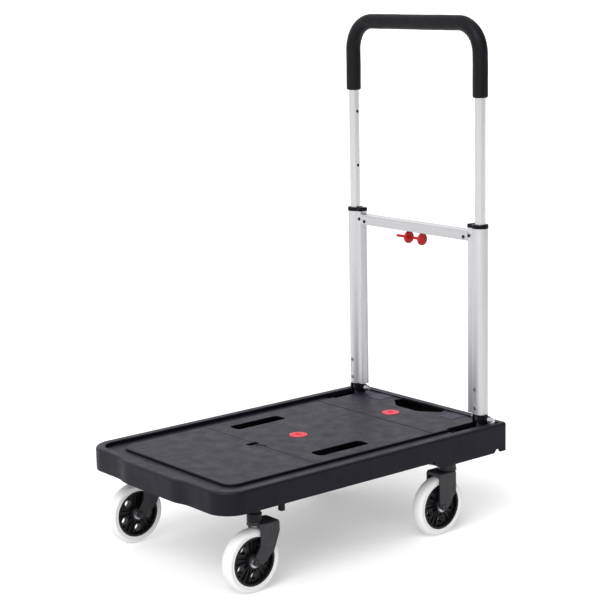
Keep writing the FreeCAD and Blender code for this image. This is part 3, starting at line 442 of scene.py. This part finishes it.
def make_tyre(place):
    low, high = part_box("tyre_" + place)
    core_low, core_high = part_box("wheel_core_" + place)
    centre = (low + high) / 2
    outer = (high.z - low.z) / 2 - SKIN
    inner = (core_high.z - core_low.z) / 2 - SKIN
    profile = tyre_profile((high.x - low.x) / 2, inner, outer)
    steps = 144
    rings = []
    for i in range(steps):
        angle = 2 * math.pi * i / steps
        rings.append([(centre.x + x, centre.y + radius * math.cos(angle),
                       centre.z + radius * math.sin(angle)) for x, radius in profile])
    mesh = rings_to_mesh("tyre_rubber_" + place, rings, True)
    tyre = add_piece("tyre_rubber_" + place, mesh, "tyre_white", "wheel_" + place)
    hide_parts("tyre_" + place)


# ---------------------------------------------------------------- foam grip
GRIP_BEND = 60 * MM
GRIP_LIP = 4.2 * MM
GRIP_SKIN = 0.05 * MM       # how far the sleeve stays inside the CAD's surface
FOLD_DEPTH = 0.9 * MM
# how fast the sleeve's waves and folds follow each other, in radians per metre
SLOW_WAVE = 38
QUICK_WAVE = 95
FOLDS = 620


def grip_path(half_span, bottom, top, bend):
    """Centre line of the U in its own plane, from the left end to the right one, as places
    (x, z, direction in degrees, 0 on a straight to 1 in the middle of a bend)."""
    leg_steps = 40
    bend_steps = 32
    bridge_steps = 60
    leg = top - bend - bottom
    bridge = 2 * (half_span - bend)
    left = []
    for i in range(leg_steps + 1):
        left.append((-half_span, bottom + leg * (i / leg_steps), 90.0, 0.0))
    for i in range(1, bend_steps + 1):
        turned = 90 * i / bend_steps
        left.append((-half_span + bend - bend * math.cos(math.radians(turned)),
                     top - bend + bend * math.sin(math.radians(turned)), 90.0 - turned,
                     math.sin(math.radians(2 * turned))))
    middle = []
    for i in range(1, bridge_steps):
        middle.append((-half_span + bend + bridge * i / bridge_steps, top, 0.0, 0.0))
    right = [(-x, z, -direction, bent) for x, z, direction, bent in reversed(left)]
    return left + middle + right


def grip_stations(path):
    """The path's places with their distance along it, and extra ones near both ends, where
    the lips are round. Returns them with the whole length."""
    lip_steps = 8
    along = 0.0
    stations = [(along, path[0])]
    for last, place in zip(path, path[1:]):
        along += math.hypot(place[0] - last[0], place[1] - last[1])
        stations.append((along, place))
    for i in range(1, lip_steps + 1):
        into = GRIP_LIP * (1 - math.cos(math.pi / 2 * i / lip_steps))
        for start, (x, z, direction, bent) in ((into, path[0]), (along - into, path[-1])):
            stations.append((start, (x, z + into, direction, bent)))
    return sorted(stations, key=lambda station: station[0]), along


def grip_ring(station, length, centre_y, radius, tube_radius, phases):
    """One ring of the sleeve: soft waves all along, folds inside the bends, round ends."""
    around = 56
    along, (x, z, direction, bent) = station
    to_end = min(along, length - along)
    if to_end < GRIP_LIP:
        fullness = math.sqrt(max(0.0, 1 - (1 - to_end / GRIP_LIP) ** 2))
    else:
        fullness = 1.0
    turn = math.radians(direction)
    outward = Vector((-math.sin(turn), 0, math.cos(turn)))
    ring = []
    for j in range(around):
        angle = 2 * math.pi * j / around
        lean = 2 * math.sin(angle + phases[1])
        sunk = 0.240 * MM
        sunk += 0.132 * MM * math.sin(SLOW_WAVE * along + phases[0] + lean)
        sunk += 0.108 * MM * math.sin(QUICK_WAVE * along + phases[2] + 3 * angle)
        inner_side = max(0.0, -math.cos(angle))
        fold = 0.5 + 0.5 * math.sin(FOLDS * along + phases[3])
        size = min(radius, radius - sunk - FOLD_DEPTH * bent * inner_side * fold)
        size = tube_radius + (size - tube_radius) * (0.30 + 0.70 * fullness)
        spot = outward * (size * math.cos(angle)) + Vector((0, 1, 0)) * (size * math.sin(angle))
        ring.append((x + spot.x, centre_y + spot.y, z + spot.z))
    return ring


def end_face(ring, station, centre_y, tube_radius):
    """The inner edge of a flat end face, where the sleeve meets the tube."""
    x, z = station[1][:2]
    edge = []
    for point_x, point_y, point_z in ring:
        shrink = tube_radius / math.hypot(point_x - x, point_y - centre_y)
        edge.append((x + (point_x - x) * shrink, centre_y + (point_y - centre_y) * shrink, z))
    return edge


def make_grip():
    low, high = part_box("foam_grip")
    tube_low, tube_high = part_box("handle_tube")
    thickness = high.y - low.y
    centre_y = (low.y + high.y) / 2
    tube_radius = (tube_high.y - tube_low.y) / 2
    half_span = (tube_high.x - tube_low.x) / 2 - tube_radius
    path = grip_path(half_span, low.z + 2 * GRIP_SKIN, high.z - thickness / 2, GRIP_BEND)
    stations, length = grip_stations(path)
    generator = random.Random(11)
    phases = [generator.uniform(0, 6.28) for i in range(4)]
    radius = thickness / 2 - GRIP_SKIN
    rings = [grip_ring(station, length, centre_y, radius, tube_radius, phases)
             for station in stations]
    first = end_face(rings[0], stations[0], centre_y, tube_radius)
    last = end_face(rings[-1], stations[-1], centre_y, tube_radius)
    mesh = rings_to_mesh("grip_foam", [first] + rings + [last], False)
    grip = add_piece("grip_foam", mesh, "foam_black", "handle_upper")
    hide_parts("foam_grip")


# ---------------------------------------------------------------- studio
def floor_material():
    """Pale matt paper with a faint lift of its own, so that it ends up white."""
    made = Surface("floor", (0.70, 0.70, 0.70), 0.75, specular=0.1)
    made.tint(made.fit(made.noise(0.4, 3), 0.3, 0.8, 0.0, 0.3), (0.68, 0.68, 0.685))
    made.shader.inputs["Emission Color"].default_value = (1.0, 1.0, 1.0, 1.0)
    made.shader.inputs["Emission Strength"].default_value = 0.36
    return made.material


def make_floor():
    reach = 30.0
    mesh = bpy.data.meshes.new("floor")
    corners = [(-reach, -reach, 0), (reach, -reach, 0), (reach, reach, 0), (-reach, reach, 0)]
    mesh.from_pydata(corners, [], [(0, 1, 2, 3)])
    floor = bpy.data.objects.new("floor", mesh)
    bpy.context.scene.collection.objects.link(floor)
    mesh.materials.append(floor_material())


def make_sun(source, angle, strength):
    """A wide, soft sun that shines from the direction source."""
    data = bpy.data.lights.new("key", "SUN")
    data.angle = math.radians(angle)
    data.energy = strength
    lamp = bpy.data.objects.new("key", data)
    lamp.rotation_euler = Vector(source).to_track_quat("Z", "Y").to_euler()
    lamp.location = source
    bpy.context.scene.collection.objects.link(lamp)


def make_world(bright_side, dim, bright, dim_strength, bright_strength):
    """A white studio, bright towards bright_side: how far a direction points there, from dim
    to bright, sets the strength."""
    world = bpy.data.worlds.new("studio")
    world.use_nodes = True
    tree = world.node_tree
    background = tree.nodes["Background"]
    background.inputs["Color"].default_value = (1.0, 1.0, 1.0, 1.0)
    place = tree.nodes.new("ShaderNodeTexCoord")
    towards = tree.nodes.new("ShaderNodeVectorMath")
    towards.operation = "DOT_PRODUCT"
    towards.inputs[1].default_value = bright_side
    tree.links.new(place.outputs["Generated"], towards.inputs[0])
    ramp = tree.nodes.new("ShaderNodeMapRange")
    ramp.inputs["From Min"].default_value = dim
    ramp.inputs["From Max"].default_value = bright
    ramp.inputs["To Min"].default_value = dim_strength
    ramp.inputs["To Max"].default_value = bright_strength
    tree.links.new(towards.outputs["Value"], ramp.inputs["Value"])
    tree.links.new(ramp.outputs["Result"], background.inputs["Strength"])
    bpy.context.scene.world = world


def make_camera(place, azimuth, elevation, roll, lens):
    """A camera at place, turned by angles in degrees: azimuth from +Y towards -X, elevation
    as it looks down, and roll about its own axis."""
    azimuth = math.radians(azimuth)
    elevation = math.radians(elevation)
    roll = math.radians(roll)
    forward = Vector((-math.sin(azimuth) * math.cos(elevation),
                      math.cos(azimuth) * math.cos(elevation), -math.sin(elevation)))
    level = Vector((math.cos(azimuth), math.sin(azimuth), 0))
    upright = level.cross(forward)
    right = level * math.cos(roll) + upright * math.sin(roll)
    up = upright * math.cos(roll) - level * math.sin(roll)
    data = bpy.data.cameras.new("camera")
    data.lens = lens
    data.sensor_width = 36.0
    data.clip_end = 100.0
    camera = bpy.data.objects.new("camera", data)
    turn = Matrix((right, up, -forward)).transposed().to_4x4()
    camera.matrix_world = Matrix.Translation(place) @ turn
    bpy.context.scene.collection.objects.link(camera)
    bpy.context.scene.camera = camera


dress_cad_nodes()
for wheel in WHEELS:
    make_tyre(wheel)
make_grip()
make_floor()
make_world(bright_side=(-0.70, -0.70, 0.15), dim=-0.80, bright=-0.08,
           dim_strength=0.06, bright_strength=1.03)
make_sun(source=(0.35, -0.65, 0.68), angle=40, strength=2.2)
bpy.context.scene.view_settings.view_transform = "Standard"
make_camera(place=(2.5835, -2.0965, 1.1462), azimuth=50.786, elevation=11.145, roll=-1.186,
            lens=101.56)
